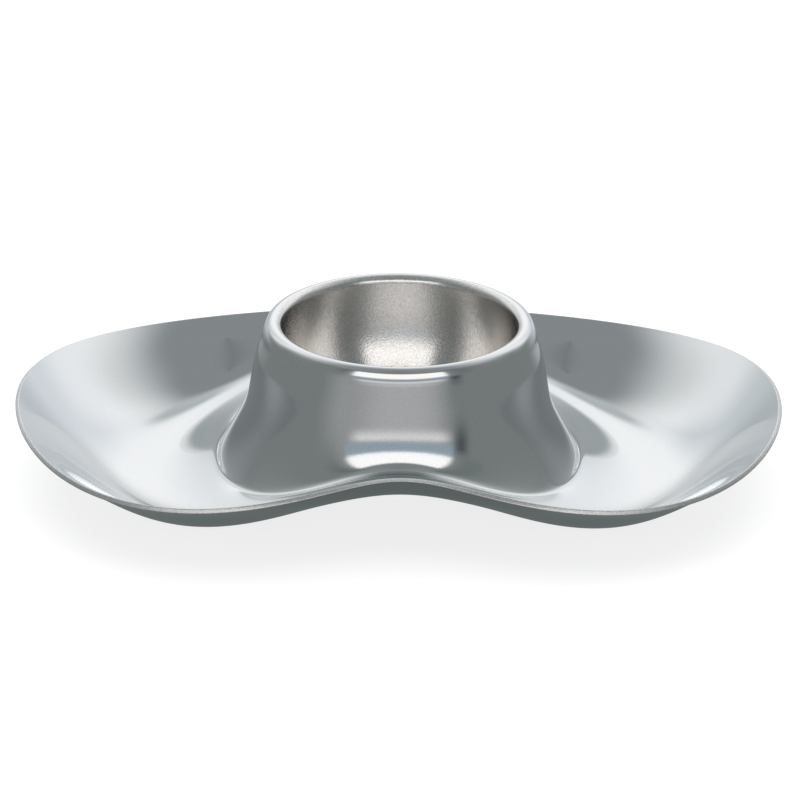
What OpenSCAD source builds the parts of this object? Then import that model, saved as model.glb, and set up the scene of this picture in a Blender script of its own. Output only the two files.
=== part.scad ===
// Stainless steel egg cup on a long waisted dish, millimetres, +Z up.
// The origin is on the table, under the middle of the cup.
// X runs along the dish, Y across its waist.

/* [Egg bowl] */
// Height of the whole egg cup, table to the top of the rim
cup_h = 31.1; // [28:0.1:41]
// Width of the mouth inside the round rim
mouth_d = 43; // [38:0.5:50]
// Thickness of the round rim, seen from above
rim_w = 3.2; // [2.4:0.1:4]
// Depth of the bowl below the top of the rim
bowl_depth = 26.8; // [25:0.1:28.5]
// Sheet thickness of the bowl
bowl_t = 0.9; // [0.6:0.1:1.2]

/* [Weld seam] */
// Height of the seam between the rim and the neck
weld_h = 0.5; // [0.3:0.1:1]

/* [Dish] */
// Length of the dish over the upper edge of the lip at its two ends
dish_l = 140; // [120:1:180]
// Width of the dish over the upper edge of the lip at its waist
waist_w = 80.8; // [72:0.5:100]
// Width of the dish over the upper edge of the lip, at 45 degrees to its length
diagonal_w = 122.2; // [104:0.5:140]
// Height of the lip at the two ends
end_h = 16.7; // [11:0.1:22]
// Height of the lip at the four corners
corner_h = 13.3; // [10:0.1:18]
// Height of the lip at the waist, front and back
waist_h = 17.6; // [16:0.1:20]
// Height of the arched floor above the table at the waist, to its underside
arch_h = 12.8; // [10:0.1:13.5]
// Height of the floor above the table in the four corners, to its underside
corner_floor_h = 4; // [3:0.1:5]
// Sheet thickness of the dish and its neck
dish_t = 0.9; // [0.6:0.1:1.2]
// Depth that is ground off under each lobe, so that the dish rests on two flats
land_depth = 0.2; // [0.1:0.05:0.3]

/* [Hidden] */

// Rim, seen in section as a round arc with its centre on a ring, which goes over into a flatter
// shoulder arc on its outer side
rim_r = rim_w / 2;
rim_ring_r = (mouth_d + rim_w) / 2;
rim_z = cup_h - rim_r;
// Angles above the level where the shoulder starts and ends, and its radius to the rim's width
shoulder_turn = 30;
lean = 13;
shoulder_share = 1.75;
shoulder_r = rim_w * shoulder_share;
shoulder_x = rim_ring_r - (shoulder_r - rim_r) * cos(shoulder_turn);
shoulder_z = rim_z - (shoulder_r - rim_r) * sin(shoulder_turn);
// The seam and the top of the neck go on in the direction in which the shoulder ends
neck_r = shoulder_x + shoulder_r * cos(lean) + weld_h * sin(lean);
neck_top_z = shoulder_z + shoulder_r * sin(lean) - weld_h * cos(lean);
neck_lead_share = 0.38;
neck_lead = rim_w * neck_lead_share;

// Bowl, seen in section as a side arc, upright at the rim, that runs smoothly into a tighter
// bottom arc
bowl_drop = bowl_depth - rim_r;
bowl_side_share = 1.18;
bowl_side_r = bowl_drop * bowl_side_share;
bowl_side_x = mouth_d / 2 - bowl_side_r;
bowl_bottom_r = (bowl_side_x * bowl_side_x + bowl_drop * bowl_drop - bowl_side_r * bowl_side_r)
    / (2 * (bowl_drop - bowl_side_r));
bowl_bottom_z = rim_z - bowl_drop + bowl_bottom_r;
// Angle below the level where the one arc goes over into the other
bowl_turn = atan2(rim_z - bowl_bottom_z, -bowl_side_x);

// Dish, drawn through nine stations from the top of the neck to the lip.
// Each station has three values, towards the end, the corner and the waist.
lip_r = [dish_l / 2, diagonal_w / 2, waist_w / 2];
lip_z = [end_h, corner_h, waist_h];
floor_z = [dish_t - land_depth, dish_t + corner_floor_h, dish_t + arch_h];
neck_rs = [neck_r, neck_r, neck_r];
neck_zs = [neck_top_z, neck_top_z, neck_top_z];
// The first two stations are round. Way out of the other seven, as a share of the way from the
// neck to the lip
reach_shares = [
    [0.044, 0.031, 0.032],
    [0.054, 0.059, 0.127],
    [0.217, 0.216, 0.263],
    [0.155, 0.241, 0.443],
    [0.527, 0.574, 0.518],
    [0.775, 0.750, 0.922],
    [1, 1, 1]
];
// Height of the next four stations, as a share of the way from the floor to the neck's top
neck_rise_shares = [
    [0.837, 0.784, 0.637],
    [0.471, 0.475, 0.242],
    [0.119, -0.008, -0.041],
    [0.139, 0.107, 0.041]
];
// Height of the last three stations, as a share of the way from the floor to the lip
lip_rise_shares = [
    [-0.162, -0.274, 0.051],
    [0.237, 0.528, -0.090],
    [1, 1, 1]
];

// Fineness of the dish: steps along the section and around the cup
section_steps = 30;
round_steps = 96;
$fn = 96;

// Three values on the way from one row to another, each by its own share
function between(from, to, shares) = [for (d = [0:2]) from[d] + shares[d] * (to[d] - from[d])];
station_rs = concat(
    [neck_rs, [for (r = neck_rs) r + neck_lead * sin(lean)]],
    [for (shares = reach_shares) between(neck_rs, lip_r, shares)]
);
station_zs = concat(
    [neck_zs, [for (z = neck_zs) z - neck_lead * cos(lean)]],
    [for (shares = neck_rise_shares) between(floor_z, neck_zs, shares)],
    [for (shares = lip_rise_shares) between(floor_z, lip_z, shares)]
);
stations = len(station_rs);

// Three directions blended all the way round: a value and its growth with the angle
function blended(v, a) = let (across = (v[0] + v[2]) / 2 - v[1])
    v[1] + across / 2 + (v[0] - v[2]) / 2 * cos(2 * a) + across / 2 * cos(4 * a);
function blended_growth(v, a) = let (across = (v[0] + v[2]) / 2 - v[1])
    -(v[0] - v[2]) * sin(2 * a) - 2 * across * sin(4 * a);

// Smooth curve through the stations: how much each one counts at u, and its growth with u
degree = 3;
u_end = stations - degree;
function knot(i) = min(max(i - degree, 0), u_end);
function part_of(top, bottom) = bottom > 0 ? top / bottom : 0;
function weight(i, k, u) = k == 0
    ? (knot(i) <= u && u < knot(i + 1) || u == u_end && i == stations - 1 ? 1 : 0)
    : part_of(u - knot(i), knot(i + k) - knot(i)) * weight(i, k - 1, u)
        + part_of(knot(i + k + 1) - u, knot(i + k + 1) - knot(i + 1)) * weight(i + 1, k - 1, u);
function weight_growth(i, u) =
    part_of(degree, knot(i + degree) - knot(i)) * weight(i, degree - 1, u)
        - part_of(degree, knot(i + degree + 1) - knot(i + 1)) * weight(i + 1, degree - 1, u);
function dot3(w, v) = [for (d = [0:2]) w * [for (row = v) row[d]]];

// One ring of the dish: its points on the upper face and square below it on the lower face
function ring(s, lower) =
    let (
        u = u_end * s / section_steps,
        w = [for (i = [0:stations - 1]) weight(i, degree, u)],
        g = [for (i = [0:stations - 1]) weight_growth(i, u)],
        r = dot3(w, station_rs),
        z = dot3(w, station_zs),
        r_u = dot3(g, station_rs),
        z_u = dot3(g, station_zs)
    )
    [for (j = [0:round_steps - 1])
        let (
            a = 360 * j / round_steps,
            out = [cos(a), sin(a), 0],
            round = [-sin(a), cos(a), 0],
            up = [0, 0, 1],
            point = blended(r, a) * out + blended(z, a) * up,
            along_u = blended(r_u, a) * out + blended(z_u, a) * up,
            along_a = blended_growth(r, a) * out + blended(r, a) * round
                + blended_growth(z, a) * up,
            normal = cross(along_u, along_a),
            below = point - dish_t * normal / norm(normal)
        )
        lower ? below : point];

// Dish with its neck: one sheet, open at the top of the neck, and ground flat where it touches
// the table
module dish() {
    rings = section_steps + 1;
    face = rings * round_steps;
    points = concat(
        [for (s = [0:section_steps]) each ring(s, false)],
        [for (s = [0:section_steps]) each ring(s, true)]
    );
    last = section_steps * round_steps;
    triangles = [
        for (j = [0:round_steps - 1])
            let (k = (j + 1) % round_steps)
            each concat(
                [for (s = [0:section_steps - 1])
                    let (p = s * round_steps, q = p + round_steps)
                    each [
                        [p + j, q + k, q + j], [p + j, p + k, q + k],
                        [face + p + j, face + q + j, face + q + k],
                        [face + p + j, face + q + k, face + p + k]
                    ]],
                [
                    [j, face + j, face + k], [j, face + k, k],
                    [last + j, face + last + k, face + last + j],
                    [last + j, last + k, face + last + k]
                ]
            )
    ];
    color("#c4c9cb") difference() {
        polyhedron(points, triangles);
        translate([-dish_l, -dish_l, -dish_t]) cube([2 * dish_l, 2 * dish_l, dish_t]);
    }
}

// Everything below a line through the origin, at an angle above the level
module below_line(angle) {
    far = 2 * mouth_d;
    rotate(angle) translate([-far, -far]) square([2 * far, far]);
}

// Half of the bowl seen in section, grown outwards by t from the inner face. Its two arcs are
// drawn turned, so that they go over into each other on a level line
module bowl_half(t) {
    intersection() {
        translate([0, bowl_bottom_z]) rotate(-bowl_turn) {
            circle(bowl_bottom_r + t);
            difference() {
                translate([bowl_bottom_r - bowl_side_r, 0]) circle(bowl_side_r + t);
                below_line(0);
            }
        }
        translate([0, rim_z - bowl_drop - t]) square([mouth_d / 2 + t, bowl_drop + t]);
    }
}

// Rim as a filled shape, t in from its outer face, turned so that the shoulder starts level
module rim_filled(t) {
    circle(rim_r - t);
    intersection() {
        translate([rim_r - shoulder_r, 0]) circle(shoulder_r - t);
        below_line(0);
    }
}

// Rim seen in section: the sheet turned over the wall, and out and down into the shoulder
module rim_section() {
    translate([rim_ring_r, rim_z]) difference() {
        rotate(shoulder_turn) difference() {
            rim_filled(0);
            rim_filled(bowl_t);
            translate([rim_r - shoulder_r, 0]) below_line(lean - shoulder_turn);
        }
        translate([-rim_w, -rim_w]) square(rim_w);
    }
}

// Egg bowl: a pressing with its edge turned over into the rim
module egg_bowl() {
    color("#b4b7b6") rotate_extrude() {
        difference() {
            bowl_half(bowl_t);
            bowl_half(0);
        }
        rim_section();
    }
}

// Weld seam between the shoulder of the rim and the top of the neck
module rim_weld() {
    color("#9ba1a3") rotate_extrude()
        translate([shoulder_x, shoulder_z]) rotate(lean)
            translate([shoulder_r - dish_t, -weld_h]) square([dish_t, weld_h]);
}

dish();
egg_bowl();
rim_weld();
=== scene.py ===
"""Stainless steel egg cup on a long waisted dish, on a white table under soft studio light."""
from math import atan, cos, pi, radians, sin

import bmesh
import bpy
import numpy as np
from mathutils import Matrix, Vector


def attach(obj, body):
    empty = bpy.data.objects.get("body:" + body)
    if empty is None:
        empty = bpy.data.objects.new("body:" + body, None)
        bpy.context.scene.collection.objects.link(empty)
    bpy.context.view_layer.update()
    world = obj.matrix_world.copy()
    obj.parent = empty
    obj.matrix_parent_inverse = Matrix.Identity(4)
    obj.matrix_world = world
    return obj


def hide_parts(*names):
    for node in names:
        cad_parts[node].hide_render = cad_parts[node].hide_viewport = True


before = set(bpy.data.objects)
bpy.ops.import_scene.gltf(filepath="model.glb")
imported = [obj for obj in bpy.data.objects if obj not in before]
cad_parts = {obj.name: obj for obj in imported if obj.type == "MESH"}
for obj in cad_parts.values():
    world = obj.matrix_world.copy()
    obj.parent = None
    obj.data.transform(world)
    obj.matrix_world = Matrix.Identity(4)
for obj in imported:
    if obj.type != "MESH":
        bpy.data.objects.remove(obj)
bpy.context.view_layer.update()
MM = 0.001

# Camera: a long lens close to the table, looking down on the cup a little from in front.
# It is fitted to the rim, both outlines of the lip and the two ends of the dish.
camera_distance = 600 * MM
camera_elevation = radians(23.25)
camera_yaw = radians(0.80)
camera_roll = radians(-0.57)
focal_length_px = 3238
frame_px = 800
aim = Vector((0.22 * MM, 0, 14.9 * MM))

forward = Vector((
    sin(camera_yaw) * cos(camera_elevation),
    cos(camera_yaw) * cos(camera_elevation),
    -sin(camera_elevation),
))
level_right = Vector((cos(camera_yaw), -sin(camera_yaw), 0))
level_up = level_right.cross(forward)
right = level_right * cos(camera_roll) - level_up * sin(camera_roll)
up = level_right * sin(camera_roll) + level_up * cos(camera_roll)
sensor_width_mm = 36
nearest_seen = 10 * MM
lens = bpy.data.cameras.new("camera")
lens.sensor_width = sensor_width_mm
lens.lens = sensor_width_mm * focal_length_px / frame_px
lens.clip_start = nearest_seen
camera = bpy.data.objects.new("camera", lens)
camera.matrix_world = Matrix.Translation(aim - forward * camera_distance) @ Matrix(
    (right, up, -forward)).transposed().to_4x4()
bpy.context.scene.collection.objects.link(camera)
bpy.context.scene.camera = camera
bpy.context.scene.view_settings.view_transform = "Standard"

# Studio: a grey room with a wide soft box in a haze behind the table, over a bright horizon.
# In front, around the camera, hang a lamp, a blue panel and a strip before a lighter wall.
world = bpy.data.worlds.new("studio")
world.use_nodes = True
bpy.context.scene.world = world
sky = world.node_tree
sky.nodes.clear()


def add_group_sockets(group, inputs, outputs):
    """Named sockets of a node group: name to socket kind, or to a default number."""
    for name, default in inputs.items():
        if isinstance(default, (int, float)):
            socket = group.interface.new_socket(name=name, in_out="INPUT", socket_type="NodeSocketFloat")
            socket.default_value = default
        else:
            group.interface.new_socket(name=name, in_out="INPUT", socket_type=default)
    for name, kind in outputs.items():
        group.interface.new_socket(name=name, in_out="OUTPUT", socket_type=kind)


def math_node(tree, operation, *values):
    """A Math node on sockets or numbers; returns its result socket."""
    node = tree.nodes.new("ShaderNodeMath")
    node.operation = operation
    for socket, value in zip(node.inputs, values):
        if isinstance(value, (int, float)):
            socket.default_value = value
        else:
            tree.links.new(value, socket)
    return node.outputs[0]


def smooth_step(tree, value, start, end):
    """0 before start, 1 after end and a smooth rise between; returns the result socket."""
    node = tree.nodes.new("ShaderNodeMapRange")
    node.interpolation_type = "SMOOTHSTEP"
    for name, number in (("Value", value), ("From Min", start), ("From Max", end)):
        if isinstance(number, (int, float)):
            node.inputs[name].default_value = number
        else:
            tree.links.new(number, node.inputs[name])
    return node.outputs["Result"]


def mix_colour(tree, factor, first, second):
    """The second colour over the first, by a factor socket; returns the result socket."""
    node = tree.nodes.new("ShaderNodeMix")
    node.data_type = "RGBA"
    tree.links.new(factor, node.inputs["Factor"])
    for socket, colour in ((node.inputs[6], first), (node.inputs[7], second)):
        if isinstance(colour, tuple):
            socket.default_value = (*colour, 1)
        else:
            tree.links.new(colour, socket)
    return node.outputs[2]


light_card = bpy.data.node_groups.new("light_card", "ShaderNodeTree")
add_group_sockets(
    light_card,
    {"Azimuth": "NodeSocketFloat", "Elevation": "NodeSocketFloat", "Middle": 0.0, "Half Width": 0.5,
     "Side Edge": 0.1, "Bottom": 0.1, "Bottom Edge": 0.1, "Top": 0.5, "Top Edge": 0.1},
    {"Mask": "NodeSocketFloat"},
)
card_in = light_card.nodes.new("NodeGroupInput").outputs
turn = math_node(light_card, "SUBTRACT", card_in["Azimuth"], card_in["Middle"])
turn = math_node(light_card, "ABSOLUTE", math_node(light_card, "WRAP", turn, pi, -pi))
side_start = math_node(light_card, "SUBTRACT", card_in["Half Width"], card_in["Side Edge"])
side_end = math_node(light_card, "ADD", card_in["Half Width"], card_in["Side Edge"])
inside = math_node(light_card, "SUBTRACT", 1.0, smooth_step(light_card, turn, side_start, side_end))
low = smooth_step(
    light_card, card_in["Elevation"],
    math_node(light_card, "SUBTRACT", card_in["Bottom"], card_in["Bottom Edge"]),
    math_node(light_card, "ADD", card_in["Bottom"], card_in["Bottom Edge"]),
)
high = smooth_step(
    light_card, card_in["Elevation"],
    math_node(light_card, "SUBTRACT", card_in["Top"], card_in["Top Edge"]),
    math_node(light_card, "ADD", card_in["Top"], card_in["Top Edge"]),
)
level = math_node(light_card, "MULTIPLY", low, math_node(light_card, "SUBTRACT", 1.0, high))
card_out = light_card.nodes.new("NodeGroupOutput")
light_card.links.new(math_node(light_card, "MULTIPLY", inside, level), card_out.inputs["Mask"])

direction = sky.nodes.new("ShaderNodeSeparateXYZ")
sky.links.new(sky.nodes.new("ShaderNodeTexCoord").outputs["Generated"], direction.inputs[0])
azimuth = math_node(sky, "ARCTAN2", direction.outputs["X"], direction.outputs["Y"])
elevation = math_node(sky, "ARCSINE", direction.outputs["Z"])

room_grey = (0.254, 0.279, 0.278)
# Each card: middle and half width of its azimuth with its soft edge, then its bottom and top
# with theirs, in degrees, and its light. Azimuth 0 is behind the table, 180 is at the camera.
cards = {
    "ground": ((0, 200, 1), (-100, 1), (-14, 4), (0.15, 0.17, 0.17)),
    "ceiling": ((2, 158, 46), (48.5, 12), (120, 14), (0.33, 0.36, 0.37)),
    "shade_right": ((124, 7.5, 3.5), (18, 4), (57.5, 4), (0.21, 0.24, 0.24)),
    "shade_left": ((230, 2.5, 11), (11.5, 12), (45.5, 11.5), (0.05, 0.08, 0.09)),
    "horizon": ((5, 22, 26), (-15.5, 7.5), (2, 14), (1.08, 1.16, 1.26)),
    "haze": ((3, 91, 21), (41.5, 37), (57, 14), (0.90, 0.94, 0.96)),
    "soft_box": ((2, 55.5, 18), (11, 11.5), (54, 20), (1.27, 1.28, 1.30)),
    "weak_left": ((-30, 7.5, 16), (-8.5, 4), (37, 14), (0.74, 0.80, 0.84)),
    "weak_right": ((31, 8.5, 16), (-2, 12.5), (34, 14), (0.93, 0.98, 1.05)),
    "upper_middle": ((3, 20, 9), (46, 5), (63, 10), (0.62, 0.67, 0.69)),
    "front_wall": ((190, 44, 12), (-16.5, 8), (24, 36), (0.41, 0.42, 0.42)),
    "front_glow": ((179, 25, 17), (-29.5, 18), (19.5, 1), (0.54, 0.54, 0.55)),
    "front_strip": ((179, 35, 7), (4.5, 4), (9.7, 1.5), (0.98, 0.96, 0.97)),
    "front_blue": ((180, 41, 1.5), (11, 1), (21.5, 2), (0.37, 0.46, 0.53)),
    "front_lamp": ((180, 40.5, 2.5), (19.5, 1.2), (41, 3), (1.45, 1.44, 1.42)),
    "door": ((134, 4.3, 4.5), (1, 9.5), (15.5, 2.5), (0.09, 0.10, 0.12)),
}
light = room_grey
for name, ((middle, half, side), (bottom, bottom_edge), (top, top_edge), colour) in cards.items():
    card = sky.nodes.new("ShaderNodeGroup")
    card.name = name
    card.node_tree = light_card
    sky.links.new(azimuth, card.inputs["Azimuth"])
    sky.links.new(elevation, card.inputs["Elevation"])
    for socket, degrees in (
        ("Middle", middle), ("Half Width", half), ("Side Edge", side), ("Bottom", bottom),
        ("Bottom Edge", bottom_edge), ("Top", top), ("Top Edge", top_edge),
    ):
        card.inputs[socket].default_value = radians(degrees)
    light = mix_colour(sky, card.outputs["Mask"], light, colour)

# The camera itself sees a plain white wall behind the table
white_wall = (0.97, 0.97, 0.97)
camera_ray = sky.nodes.new("ShaderNodeLightPath").outputs["Is Camera Ray"]
background = sky.nodes.new("ShaderNodeBackground")
sky.links.new(mix_colour(sky, camera_ray, light, white_wall), background.inputs["Color"])
sky.links.new(background.outputs[0], sky.nodes.new("ShaderNodeOutputWorld").inputs[0])

# Table: a sheet of opal glass, lit from below and from a bank overhead, so that shadows stay
# faint. Neither is mirrored in the steel.
table_half = 620 * MM
table_glow = 0.81
bank_size = 900 * MM
bank_height = 700 * MM
bank_watts = 7.5
table_mesh = bpy.data.meshes.new("table")
table_mesh.from_pydata(
    [(-table_half, -table_half, 0), (table_half, -table_half, 0),
     (table_half, table_half, 0), (-table_half, table_half, 0)], [], [(0, 1, 2, 3)])
table = bpy.data.objects.new("table", table_mesh)
table.visible_glossy = False
bpy.context.scene.collection.objects.link(table)
opal = bpy.data.materials.new("opal_glass")
opal.use_nodes = True
opal_shader = opal.node_tree.nodes["Principled BSDF"]
opal_shader.inputs["Base Color"].default_value = (0.20, 0.20, 0.20, 1)
opal_shader.inputs["Roughness"].default_value = 0.9
opal_shader.inputs["Specular IOR Level"].default_value = 0.1
opal_shader.inputs["Emission Color"].default_value = (1, 1, 1, 1)
opal_shader.inputs["Emission Strength"].default_value = table_glow
table_mesh.materials.append(opal)
bank = bpy.data.objects.new("overhead_bank", bpy.data.lights.new("overhead_bank", "AREA"))
bank.data.size = bank_size
bank.data.energy = bank_watts
bank.location = (0, 0, bank_height)
bank.visible_glossy = False
bpy.context.scene.collection.objects.link(bank)

# Dish: one stainless sheet, 0.9 mm thick, pressed into two lobes with the neck drawn up out of
# its middle. The dish is mirror polished, the neck a little duller and the lip's cut edge brushed.
# Each station of its section has a place towards the end, the corner and the waist of the dish.
sheet = 0.9 * MM
land_depth = 0.2 * MM
neck_radius = 25.205 * MM
neck_top = 28.273 * MM
neck_lean = radians(13)
neck_lead = 1.216 * MM
corner_floor = 4 * MM
arch_height = 12.8 * MM
lip_radii = np.array([70.0, 61.1, 40.4]) * MM
lip_heights = np.array([16.7, 13.3, 17.6]) * MM
floor_heights = sheet + np.array([-land_depth, corner_floor, arch_height])
reach_shares = np.array([
    [0.044, 0.031, 0.032], [0.054, 0.059, 0.127], [0.217, 0.216, 0.263], [0.155, 0.241, 0.443],
    [0.527, 0.574, 0.518], [0.775, 0.750, 0.922], [1, 1, 1],
])
neck_rise_shares = np.array([
    [0.837, 0.784, 0.637], [0.471, 0.475, 0.242], [0.119, -0.008, -0.041], [0.139, 0.107, 0.041],
])
lip_rise_shares = np.array([[-0.162, -0.274, 0.051], [0.237, 0.528, -0.090], [1, 1, 1]])
station_radii = np.vstack((
    np.full(3, neck_radius),
    np.full(3, neck_radius + neck_lead * sin(neck_lean)),
    neck_radius + reach_shares * (lip_radii - neck_radius),
))
station_heights = np.vstack((
    np.full(3, neck_top),
    np.full(3, neck_top - neck_lead * cos(neck_lean)),
    floor_heights + neck_rise_shares * (neck_top - floor_heights),
    floor_heights + lip_rise_shares * (lip_heights - floor_heights),
))
stations = len(station_radii)
DEGREE = 3
curve_end = stations - DEGREE
knots = np.clip(np.arange(stations + DEGREE + 1) - DEGREE, 0, curve_end)


def station_weight(i, degree, u):
    """How much station i counts at the places u along the section."""
    if degree == 0:
        last = (u == curve_end) & (knots[i] < curve_end) & (knots[i + 1] == curve_end)
        return ((knots[i] <= u) & (u < knots[i + 1]) | last).astype(float)
    total = 0
    rise = knots[i + degree] - knots[i]
    fall = knots[i + degree + 1] - knots[i + 1]
    if rise:
        total = total + (u - knots[i]) / rise * station_weight(i, degree - 1, u)
    if fall:
        total = total + (knots[i + degree + 1] - u) / fall * station_weight(i + 1, degree - 1, u)
    return total


def weight_growth(i, u):
    """How fast the weight of station i grows with u."""
    total = 0
    rise = knots[i + DEGREE] - knots[i]
    fall = knots[i + DEGREE + 1] - knots[i + 1]
    if rise:
        total = total + DEGREE / rise * station_weight(i, DEGREE - 1, u)
    if fall:
        total = total - DEGREE / fall * station_weight(i + 1, DEGREE - 1, u)
    return total


def around(values, angle, growth=False):
    """Blends the end, corner and waist values all the way round; or their growth with the angle."""
    end, corner, waist = (values[:, [k]] for k in range(3))
    across = (end + waist) / 2 - corner
    if growth:
        return -(end - waist) * np.sin(2 * angle) - 2 * across * np.sin(4 * angle)
    return corner + across / 2 + (end - waist) / 2 * np.cos(2 * angle) + across / 2 * np.cos(4 * angle)


round_steps = 288
section_steps = 150
sharp_angle = radians(40)
angles = np.arange(round_steps) * 2 * pi / round_steps
u = np.linspace(0, curve_end, section_steps + 1)
weights = np.array([station_weight(i, DEGREE, u) for i in range(stations)]).T
growths = np.array([weight_growth(i, u) for i in range(stations)]).T
radii = around(weights @ station_radii, angles)
heights = around(weights @ station_heights, angles)
outward = np.stack((np.cos(angles), np.sin(angles), 0 * angles), axis=-1)
sideways = np.stack((-np.sin(angles), np.cos(angles), 0 * angles), axis=-1)
upward = np.array((0, 0, 1))
upper = radii[..., None] * outward + heights[..., None] * upward
along = (around(growths @ station_radii, angles)[..., None] * outward
         + around(growths @ station_heights, angles)[..., None] * upward)
across = (around(weights @ station_radii, angles, True)[..., None] * outward
          + radii[..., None] * sideways
          + around(weights @ station_heights, angles, True)[..., None] * upward)
normals = np.cross(along, across)
normals /= np.linalg.norm(normals, axis=-1, keepdims=True)
lower = upper - sheet * normals
# Ground flat where the two lobes touch the table
lower[..., 2] = np.maximum(lower[..., 2], 0)

# The lip's edge is cut square and its two corners are rounded
corner_radius = 0.16 * MM
corner_steps = 4
keep_back = 0.25 * MM
tip_way = along[-1] / np.linalg.norm(along[-1], axis=-1, keepdims=True)
tip_normal = normals[-1]
edge_rings = []
for centre_depth, start in ((corner_radius, 0), (sheet - corner_radius, pi / 2)):
    centre = upper[-1] - corner_radius * tip_way - centre_depth * tip_normal
    for step in range(corner_steps + 1):
        turn_angle = start + pi / 2 * step / corner_steps
        edge_rings.append(centre + corner_radius * (
            np.cos(turn_angle) * tip_normal + np.sin(turn_angle) * tip_way))
inner_support = upper[-1] - keep_back * tip_way
rings = [*upper[:-1], inner_support, *edge_rings,
         inner_support - sheet * tip_normal, *lower[:-1][::-1]]


def ring_mesh(name, rings, closed):
    """A mesh of rings of points, joined to each other and, if closed, end to end."""
    count = len(rings[0])
    bands = len(rings) if closed else len(rings) - 1
    faces = [
        (i * count + j, (i + 1) % len(rings) * count + j,
         (i + 1) % len(rings) * count + (j + 1) % count, i * count + (j + 1) % count)
        for i in range(bands) for j in range(count)
    ]
    mesh = bpy.data.meshes.new(name)
    mesh.from_pydata(np.concatenate(rings).tolist(), [], faces)
    mesh.polygons.foreach_set("use_smooth", [True] * len(mesh.polygons))
    mesh.set_sharp_from_angle(angle=sharp_angle)
    return mesh


dish_mesh = ring_mesh("pressed_dish", rings, True)
dish = bpy.data.objects.new("pressed_dish", dish_mesh)
bpy.context.scene.collection.objects.link(dish)

satin_grain = bpy.data.node_groups.new("satin_grain", "ShaderNodeTree")
add_group_sockets(
    satin_grain,
    {"Vector": "NodeSocketVector", "Grain Scale": 2900.0, "Cloud Scale": 60.0},
    {"Height": "NodeSocketFloat", "Cloud": "NodeSocketFloat"},
)
grain_in = satin_grain.nodes.new("NodeGroupInput").outputs
grain_out = satin_grain.nodes.new("NodeGroupOutput").inputs
for scale, output, detail in (("Grain Scale", "Height", 3), ("Cloud Scale", "Cloud", 4)):
    noise = satin_grain.nodes.new("ShaderNodeTexNoise")
    noise.inputs["Detail"].default_value = detail
    satin_grain.links.new(grain_in["Vector"], noise.inputs["Vector"])
    satin_grain.links.new(grain_in[scale], noise.inputs["Scale"])
    satin_grain.links.new(noise.outputs["Fac"], grain_out[output])


def beyond(tree, place, start, end):
    """A mask that rises from 0 to 1 between two distances from the middle of the cup."""
    level = tree.nodes.new("ShaderNodeVectorMath")
    level.operation = "MULTIPLY"
    level.inputs[1].default_value = (1, 1, 0)
    tree.links.new(place, level.inputs[0])
    distance = tree.nodes.new("ShaderNodeVectorMath")
    distance.operation = "LENGTH"
    tree.links.new(level.outputs["Vector"], distance.inputs[0])
    return smooth_step(tree, distance.outputs["Value"], start, end)


radius_mask = bpy.data.node_groups.new("radius_mask", "ShaderNodeTree")
add_group_sockets(
    radius_mask,
    {"Vector": "NodeSocketVector", "Start": 0.0, "End": 1.0},
    {"Mask": "NodeSocketFloat"},
)
mask_in = radius_mask.nodes.new("NodeGroupInput").outputs
mask_out = radius_mask.nodes.new("NodeGroupOutput").inputs
radius_mask.links.new(
    beyond(radius_mask, mask_in["Vector"], mask_in["Start"], mask_in["End"]), mask_out["Mask"])

polished_colour = (0.66, 0.67, 0.67)
polished_speckle = 0.08
soft_polish = (0.08, 0.12)
mirror_polish = (0.03, 0.05)


def steel(name, colour, satin, grain_depth, speckle, polish=None):
    """Stainless steel, satin between two roughnesses, with a grain of this depth and speckle.
    The polish is two other roughnesses, and where on the radius it starts and is complete."""
    made = bpy.data.materials.new(name)
    made.use_nodes = True
    tree = made.node_tree
    shader = tree.nodes["Principled BSDF"]
    shader.inputs["Metallic"].default_value = 1
    place = tree.nodes.new("ShaderNodeTexCoord").outputs["Object"]
    grain = tree.nodes.new("ShaderNodeGroup")
    grain.node_tree = satin_grain
    tree.links.new(place, grain.inputs["Vector"])
    height = grain.outputs["Height"]

    def cloudy(low, high):
        """A value that drifts between two numbers over the steel."""
        return math_node(tree, "MULTIPLY_ADD", grain.outputs["Cloud"], high - low, low)

    roughness = cloudy(*satin)
    base = tree.nodes.new("ShaderNodeRGB").outputs[0]
    base.default_value = (*colour, 1)
    if polish:
        roughnesses, start, end = polish
        zone = tree.nodes.new("ShaderNodeGroup")
        zone.node_tree = radius_mask
        tree.links.new(place, zone.inputs["Vector"])
        zone.inputs["Start"].default_value = start
        zone.inputs["End"].default_value = end
        polished = zone.outputs["Mask"]
        blend = tree.nodes.new("ShaderNodeMix")
        tree.links.new(polished, blend.inputs["Factor"])
        tree.links.new(roughness, blend.inputs["A"])
        tree.links.new(cloudy(*roughnesses), blend.inputs["B"])
        roughness = blend.outputs["Result"]
        height = math_node(tree, "MULTIPLY", height, math_node(tree, "SUBTRACT", 1.0, polished))
        base = mix_colour(tree, polished, base, polished_colour)
        speckle = math_node(tree, "MULTIPLY_ADD", polished, polished_speckle - speckle, speckle)
    tree.links.new(roughness, shader.inputs["Roughness"])

    speckled = tree.nodes.new("ShaderNodeVectorMath")
    speckled.operation = "SCALE"
    centred = math_node(tree, "SUBTRACT", grain.outputs["Height"], 0.5)
    tree.links.new(base, speckled.inputs["Vector"])
    tree.links.new(
        math_node(tree, "MULTIPLY_ADD", centred, speckle, 1.0), speckled.inputs["Scale"])
    tree.links.new(speckled.outputs["Vector"], shader.inputs["Base Color"])

    bump = tree.nodes.new("ShaderNodeBump")
    bump.inputs["Distance"].default_value = grain_depth
    tree.links.new(height, bump.inputs["Height"])
    tree.links.new(bump.outputs["Normal"], shader.inputs["Normal"])
    return made


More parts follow.
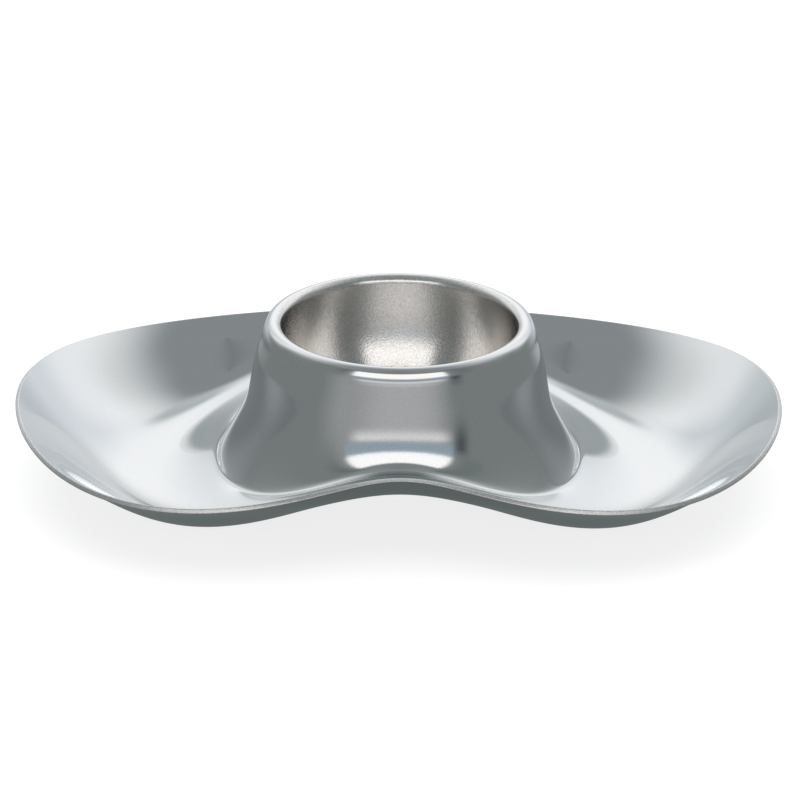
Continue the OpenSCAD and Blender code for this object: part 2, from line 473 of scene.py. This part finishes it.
mirror_start = 28 * MM
mirror_end = 34 * MM
dish_steel = steel(
    "polished_dish_steel", polished_colour, soft_polish, grain_depth=0.003 * MM, speckle=0.15,
    polish=(mirror_polish, mirror_start, mirror_end))

# A mirror ray that is cut off after its last bounce on an upper face would leave a black spot.
# There the upper face of the polished dish glows with a fixed colour instead: a painted reflection of
# the room's light.
last_bounce = 3.5
painted_reflection_colour = (0.85, 0.90, 0.95)
painted_reflection_strength = 1.7
tree = dish_steel.node_tree
place = tree.nodes.new("ShaderNodeTexCoord").outputs["Object"]
mirror_zone = beyond(tree, place, mirror_start, mirror_end)
ray_depth = tree.nodes.new("ShaderNodeLightPath").outputs["Ray Depth"]
facing = tree.nodes.new("ShaderNodeSeparateXYZ")
tree.links.new(tree.nodes.new("ShaderNodeNewGeometry").outputs["Normal"], facing.inputs[0])
cut_off = math_node(
    tree, "MULTIPLY", math_node(tree, "GREATER_THAN", ray_depth, last_bounce),
    math_node(tree, "GREATER_THAN", facing.outputs["Z"], 0.0))
# Emission painted on the dish, a painted reflection that stands in for the light of the room
painted_reflection_glow = tree.nodes.new("ShaderNodeEmission")
painted_reflection_glow.inputs["Color"].default_value = (*painted_reflection_colour, 1)
painted_reflection_glow.inputs["Strength"].default_value = painted_reflection_strength
either = tree.nodes.new("ShaderNodeMixShader")
tree.links.new(math_node(tree, "MULTIPLY", cut_off, mirror_zone), either.inputs["Fac"])
tree.links.new(tree.nodes["Principled BSDF"].outputs["BSDF"], either.inputs[1])
tree.links.new(painted_reflection_glow.outputs["Emission"], either.inputs[2])
tree.links.new(either.outputs["Shader"], tree.nodes["Material Output"].inputs["Surface"])

# The cut edge lies between the first and the last of the edge's rings
dish_mesh.materials.append(dish_steel)
dish_mesh.materials.append(steel(
    "cut_edge_steel", (0.70, 0.69, 0.68), (0.32, 0.50), grain_depth=0.03 * MM, speckle=0.75))
edge_start = len(upper) * round_steps
edge_faces = (len(edge_rings) - 1) * round_steps
for k in range(edge_start, edge_start + edge_faces):
    dish_mesh.polygons[k].material_index = 1
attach(dish, "root")
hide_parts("dish")

# Egg bowl: a second pressing of the same sheet, satin inside, with its edge turned over
# into the round, polished rim and down the shoulder to the weld.
rim_ring = 23.1 * MM
rim_radius = 1.6 * MM
rim_height = 29.5 * MM
bowl_drop = 25.2 * MM
bowl_side_share = 1.18
bowl_side = bowl_drop * bowl_side_share
side_middle = rim_ring - rim_radius - bowl_side
bottom_radius = (
    (side_middle ** 2 + bowl_drop ** 2 - bowl_side ** 2) / (2 * (bowl_drop - bowl_side)))
bottom_middle = rim_height - bowl_drop + bottom_radius
shoulder_start = radians(30)
shoulder_radius = 5.6 * MM
shoulder_middle = (
    rim_ring - (shoulder_radius - rim_radius) * cos(shoulder_start),
    rim_height - (shoulder_radius - rim_radius) * sin(shoulder_start),
)
meet = atan(side_middle / (bottom_middle - rim_height))
bottom_steps = 48
side_steps = 40
rim_steps = 24
shoulder_steps = 10
under_shoulder_steps = 6
under_rim_steps = 14


def arc(middle, radius, start, end, steps):
    """Points of a section along an arc, angles from the outward direction upwards."""
    turns = [start + (end - start) * step / steps for step in range(steps + 1)]
    return [(middle[0] + radius * cos(t), middle[1] + radius * sin(t)) for t in turns]


def wall(thickness):
    """Section of the bowl from the middle of its bottom up to the rim."""
    bottom = arc(
        (0, bottom_middle), bottom_radius + thickness, -pi / 2, -pi / 2 + meet, bottom_steps)
    side = arc(
        (side_middle, rim_height), bowl_side + thickness, -pi / 2 + meet, 0, side_steps)
    return bottom[1:] + side[1:]


bowl_section = (
    wall(0)
    + arc((rim_ring, rim_height), rim_radius, pi, shoulder_start, rim_steps)[1:]
    + arc(shoulder_middle, shoulder_radius, shoulder_start, neck_lean, shoulder_steps)[1:]
    + arc(shoulder_middle, shoulder_radius - sheet, neck_lean, shoulder_start, under_shoulder_steps)
    + arc((rim_ring, rim_height), rim_radius - sheet, shoulder_start, pi, under_rim_steps)[1:]
    + wall(sheet)[::-1][1:]
)


def lathe(section):
    """Rings of a section turned about the middle of the cup."""
    return [r * outward + z * upward for r, z in section]


bowl_mesh = ring_mesh("turned_bowl", lathe(bowl_section), False)
bowl = bpy.data.objects.new("turned_bowl", bowl_mesh)
bpy.context.scene.collection.objects.link(bowl)
shape = bmesh.new()
shape.from_mesh(bowl_mesh)
shape.verts.ensure_lookup_table()
inner_loop = shape.verts[:round_steps]
outer_loop = shape.verts[-round_steps:]
bowl_bottom = rim_height - bowl_drop
for loop, height in ((inner_loop, bowl_bottom), (outer_loop, bowl_bottom - sheet)):
    middle = shape.verts.new((0, 0, height))
    for j in range(round_steps):
        shape.faces.new((loop[j], loop[(j + 1) % round_steps], middle)).smooth = True
bmesh.ops.recalc_face_normals(shape, faces=shape.faces)
shape.to_mesh(bowl_mesh)
shape.free()
polish_start = 21.8 * MM
polish_end = 23.4 * MM
bowl_mesh.materials.append(steel(
    "satin_bowl_steel", (0.70, 0.68, 0.66), (0.15, 0.22), grain_depth=0.024 * MM, speckle=0.60,
    polish=(soft_polish, polish_start, polish_end)))
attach(bowl, "root")
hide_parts("egg_bowl")

# Weld seam: stainless weld metal, run all the way round between the shoulder of the rim and the
# top edge of the neck, then ground flush and polished with both.
weld_height = 0.5 * MM
across_sheet = (sheet * cos(neck_lean), sheet * sin(neck_lean))
up_weld = (-weld_height * sin(neck_lean), weld_height * cos(neck_lean))
weld_section = [
    (neck_radius + up_weld[0], neck_top + up_weld[1]),
    (neck_radius, neck_top),
    (neck_radius - across_sheet[0], neck_top - across_sheet[1]),
    (neck_radius - across_sheet[0] + up_weld[0], neck_top - across_sheet[1] + up_weld[1]),
]
weld_mesh = ring_mesh("flush_weld", lathe(weld_section), True)
weld = bpy.data.objects.new("flush_weld", weld_mesh)
bpy.context.scene.collection.objects.link(weld)
weld_mesh.materials.append(steel(
    "ground_weld_steel", polished_colour, soft_polish, grain_depth=0.003 * MM, speckle=0.15))
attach(weld, "root")
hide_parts("rim_weld")
